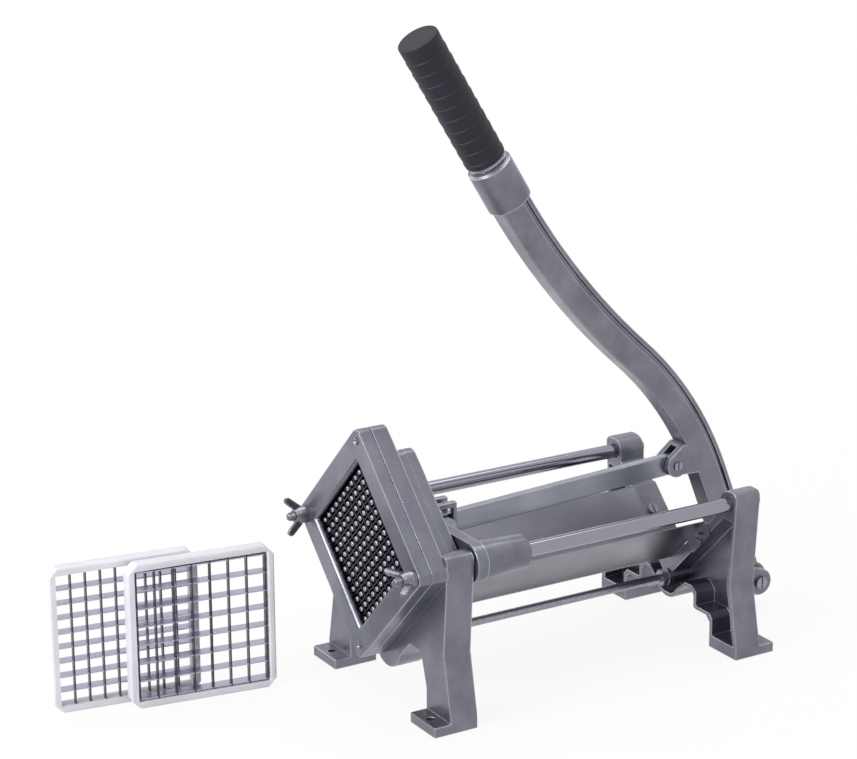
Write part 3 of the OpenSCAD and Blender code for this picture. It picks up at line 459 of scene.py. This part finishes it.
def turned_stub():
    """Bright turned end of the handle rod, with a thin shoulder above the collar."""
    rod, shoulder, neck = 5.6, 13.1, 11.8
    foot, seat, tip = 11.2, 28, 88.5
    bm = bmesh.new()
    turned(bm, [(0, foot), (rod, foot), (rod, seat), (shoulder - 0.2, seat), (shoulder, seat + 0.2),
                (shoulder - 0.1, seat + 0.5), (neck + 0.2, seat + 0.7), (neck, seat + 0.9),
                (neck, GRIP_START), (rod, GRIP_START), (rod, tip), (0, tip)], 64)
    bmesh.ops.transform(bm, matrix=GRIP_AXIS, verts=bm.verts)
    settle("turned_stub", bm, ZINC, "lever", ("handle_stub",))


rubber_grip()
turned_stub()

# The clamp plate's front, and from the studs' own box their places and the height
# of the mouth's centre between them
PLATE_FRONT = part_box("clamp_plate")[0][1] / MM
STUD_RADIUS = 3.0
studs_low, studs_high = in_mm(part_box("clamp_studs"))
STUD_REACH = studs_high.x - STUD_RADIUS
MOUTH_HEIGHT = (studs_low.z + studs_high.z) / 2


def wing_nut(side, turn, body, node):
    """Pressed wing nut: a domed hub with two thick wings that flare to the front."""
    bore, base, top = 3.05, 1.2, 9.2
    bm = bmesh.new()
    turned(bm, [(bore, base), (5.7, base), (6.0, base + 0.3), (5.6, 5.4), (4.5, top - 0.2), (3.9, top),
                (bore, top), (bore, base)])
    hub = set(bm.verts)
    wing = [(3.6, 2.2), (6.6, 4.0), (10.2, 8.2), (12.7, 11.2), (13.0, 13.2), (11.6, 14.9), (9.6, 14.7),
            (6.4, 11.4), (4.4, 8.8), (3.6, 7.4)]
    thick = 2.6 * MM
    for sign in (1, -1):
        ring = [bm.verts.new((sign * x * MM, -thick / 2, z * MM)) for x, z in wing]
        face = bm.faces.new(ring if sign < 0 else list(reversed(ring)))
        new = bmesh.ops.extrude_face_region(bm, geom=[face])["geom"]
        raised = [v for v in new if isinstance(v, bmesh.types.BMVert)]
        bmesh.ops.translate(bm, vec=(0, thick, 0), verts=raised)
    bmesh.ops.recalc_face_normals(bm, faces=[f for f in bm.faces if f.verts[0] not in hub])
    rims = [e for e in bm.edges
            if e.verts[0] not in hub and abs(e.verts[0].co.y - e.verts[1].co.y) < TOUCH]
    bevel(bm, rims, 0.7, 3)
    place = shift(side * STUD_REACH, PLATE_FRONT, MOUTH_HEIGHT) @ spin(turn, "Y") @ spin(90, "X")
    bmesh.ops.transform(bm, matrix=place, verts=bm.verts)
    settle("wing_nut_" + body, bm, DULL_ZINC, body, (node,))


def turned_copies(profile, places):
    """The same turned piece at each place, with its axis towards the front."""
    bm = bmesh.new()
    for place in places:
        one = bmesh.new()
        turned(one, profile, 32)
        bmesh.ops.transform(one, verts=one.verts, matrix=shift(*place) @ spin(90, "X"))
        copy = bpy.data.meshes.new("copy")
        one.to_mesh(copy)
        one.free()
        bm.from_mesh(copy)
        bpy.data.meshes.remove(copy)
    return bm


def threaded_studs():
    """Studs with a cut thread of 1 mm pitch on their outer ends."""
    crest, root, turns, back = 2.98, 2.6, 13, -15.5
    profile = [(0, back), (STUD_RADIUS, back), (STUD_RADIUS, -1)]
    for k in range(turns):
        profile += [(crest, k), (root, k + 0.5)]
    profile += [(2.5, turns + 0.1), (2.1, turns + 0.5), (0, turns + 0.5)]
    bm = turned_copies(profile, [(side * STUD_REACH, PLATE_FRONT, MOUTH_HEIGHT) for side in (1, -1)])
    settle("threaded_studs", bm, DULL_ZINC, "stand", ("clamp_studs",), 50.0)


def drilled_pins():
    """Locating pins with a rounded rim and a centre-drilled outer end."""
    low, high = in_mm(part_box("locating_pins"))
    radius, length = (high.x - low.x) / 2, high.y - low.y
    floor = length - 1.3
    profile = [(0, 0), (radius, 0), (radius, length - 0.5), (radius - 0.15, length - 0.15),
               (radius - 0.5, length), (radius - 0.8, length - 0.1), (0.5, floor), (0, floor)]
    bm = turned_copies(profile, [(0, high.y, z) for z in (low.z + radius, high.z - radius)])
    settle("drilled_pins", bm, DULL_ZINC, "stand", ("locating_pins",), 30.0)


drilled_pins()
wing_nut(-1, 78, "wing_left", "wing_nut_left")
wing_nut(1, 24, "wing_right", "wing_nut_right")
threaded_studs()


def peg_block():
    """Pusher plate with eleven rows of eleven round-tipped pegs, on its corner."""
    side, thick, corner, pitch, rows = 79.2, 6, 4.8, 7.4, 11
    foot, tip, rounding, sunk = 2.0, 1.85, 1.0, 1
    low, high = in_mm(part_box("pusher_block"))
    face = high.y - thick
    bm = bmesh.new()
    bmesh.ops.create_cube(bm, size=MM)
    bmesh.ops.scale(bm, vec=(side, thick, side), verts=bm.verts)
    bmesh.ops.translate(bm, vec=(0, (face + thick / 2) * MM, 0), verts=bm.verts)
    bevel(bm, [e for e in bm.edges if abs(e.verts[0].co.y - e.verts[1].co.y) > thick / 2 * MM], corner, 5)
    bevel(bm, [e for e in bm.edges if abs(e.verts[0].co.y - e.verts[1].co.y) < TOUCH], 0.6)
    middle, root = (low.y + face + sunk) / 2, face + sunk
    tips = []
    steps = [(k - rows // 2) * pitch for k in range(rows)]
    for x in steps:
        for z in steps:
            peg = bmesh.ops.create_cone(
                bm, cap_ends=True, segments=14, radius1=foot * MM, radius2=tip * MM,
                depth=(root - low.y) * MM, matrix=shift(x, middle, z) @ spin(90, "X"))["verts"]
            ring = [v for v in peg if v.co.y < (low.y + rounding) * MM]
            rim = {e for v in ring for e in v.link_edges}
            tips += [e for e in rim if e.verts[0] in ring and e.verts[1] in ring]
    bevel(bm, tips, rounding, 3)
    bmesh.ops.transform(bm, verts=bm.verts, matrix=shift(0, 0, MOUTH_HEIGHT) @ spin(45, "Y"))
    settle("peg_block", bm, PEG, "slider", ("pusher_block",))


peg_block()


def seen_rays(tree):
    """1 for what the camera sees, straight, mirrored or through something clear."""
    ray = add(tree, "ShaderNodeLightPath").outputs
    seen = ray["Is Camera Ray"]
    for other in ("Is Glossy Ray", "Is Transmission Ray"):
        seen = add(tree, "ShaderNodeMath", {0: seen, 1: ray[other]}, operation="MAXIMUM").outputs[0]
    return seen


def paper_floor():
    """Pale floor that looks white, and keeps a faint shadow up to 0.75 m away."""
    reach, gap = 6.0, 0.3 * MM
    bm = bmesh.new()
    bmesh.ops.create_grid(bm, x_segments=1, y_segments=1, size=reach)
    bmesh.ops.translate(bm, verts=bm.verts, vec=(0, 0, -gap))
    mesh = bpy.data.meshes.new("paper_floor")
    bm.to_mesh(mesh)
    bm.free()
    floor = bpy.data.objects.new("paper_floor", mesh)
    bpy.context.collection.objects.link(floor)
    mat, tree = new_material("white_paper")
    at = add(tree, "ShaderNodeTexCoord").outputs["Object"]
    far = add(tree, "ShaderNodeVectorMath", {0: at}, operation="LENGTH").outputs["Value"]
    share = add(tree, "ShaderNodeMapRange", {"Value": far}, From_Min=0.25, From_Max=0.75, To_Min=0.9,
                To_Max=1.0).outputs["Result"]
    part = add(tree, "ShaderNodeMath", {0: seen_rays(tree), 1: share}, operation="MULTIPLY")
    paper = add(tree, "ShaderNodeBsdfDiffuse", Color=srgb("f0f0f0"))
    glow = add(tree, "ShaderNodeEmission", Color=(1, 1, 1, 1), Strength=1.0)
    mix = add(tree, "ShaderNodeMixShader", {"Fac": part.outputs[0], 1: paper.outputs[0],
              2: glow.outputs[0]})
    add(tree, "ShaderNodeOutputMaterial", {"Surface": mix.outputs[0]})
    mesh.materials.append(mat)


def white_world():
    """White where it is seen, and a dim cool light on the object."""
    world = bpy.data.worlds.new("white_studio")
    bpy.context.scene.world = world
    world.use_nodes = True
    tree = world.node_tree
    tree.nodes.clear()
    dim = add(tree, "ShaderNodeBackground", Color=srgb("f4f6fa"), Strength=0.55)
    white = add(tree, "ShaderNodeBackground", Color=(1, 1, 1, 1), Strength=1.0)
    mix = add(tree, "ShaderNodeMixShader", {"Fac": seen_rays(tree), 1: dim.outputs[0], 2: white.outputs[0]})
    add(tree, "ShaderNodeOutputWorld", {"Surface": mix.outputs[0]})


def softbox(name, place, target, size, power):
    """A square lamp, in metres and watts, that faces a target."""
    data = bpy.data.lights.new(name, "AREA")
    data.shape = "SQUARE"
    data.size = size
    data.energy = power
    lamp = bpy.data.objects.new(name, data)
    bpy.context.collection.objects.link(lamp)
    lamp.location = place
    lamp.rotation_euler = (Vector(target) - Vector(place)).to_track_quat("-Z", "Y").to_euler()


# The photograph's camera: degrees round, above and tipped, its place in metres,
# its focal length and the picture's width in pixels, and its sensor's width in mm
CAMERA_ROUND, CAMERA_ABOVE, CAMERA_TIP = 59.20, 17.04, -0.42
CAMERA_PLACE = (1.4116, -0.9310, 0.7132)
FOCAL_PIXELS, PHOTO_PIXELS = 2678.54, 857
SENSOR = 36.0


def photo_camera():
    """Camera at the photograph's angle, worked out from the cutter's own lines."""
    turn, rise = math.radians(CAMERA_ROUND), math.radians(CAMERA_ABOVE)
    back = Vector((math.sin(turn) * math.cos(rise), -math.cos(turn) * math.cos(rise), math.sin(rise)))
    right = Vector((math.cos(turn), math.sin(turn), 0))
    up = back.cross(right)
    tip = Matrix.Rotation(math.radians(CAMERA_TIP), 3, back)
    data = bpy.data.cameras.new("photo_camera")
    data.sensor_fit = "HORIZONTAL"
    data.sensor_width = SENSOR
    data.lens = FOCAL_PIXELS / PHOTO_PIXELS * SENSOR
    data.clip_start = 0.05
    data.clip_end = 30.0
    camera = bpy.data.objects.new("photo_camera", data)
    bpy.context.collection.objects.link(camera)
    place = Matrix((tip @ right, tip @ up, back)).transposed().to_4x4()
    place.translation = CAMERA_PLACE
    camera.matrix_world = place
    bpy.context.scene.camera = camera


# Each lamp's name, place, target, side in metres and power in watts
LAMPS = (
    ("front_softbox", (0.2, -1.9, 0.9), (0, -0.05, 0.12), 1.2, 31.0),
    ("top_softbox", (-0.3, 0.2, 1.9), (0, 0, 0.1), 1.4, 15.0),
    ("edge_softbox", (1.1, -0.2, 1.5), (0, 0, 0.1), 0.35, 1.5),
    ("left_softbox", (-1.6, -1.1, 0.35), (0, 0, 0.2), 0.9, 7.0))

paper_floor()
white_world()
for lamp in LAMPS:
    softbox(*lamp)
photo_camera()
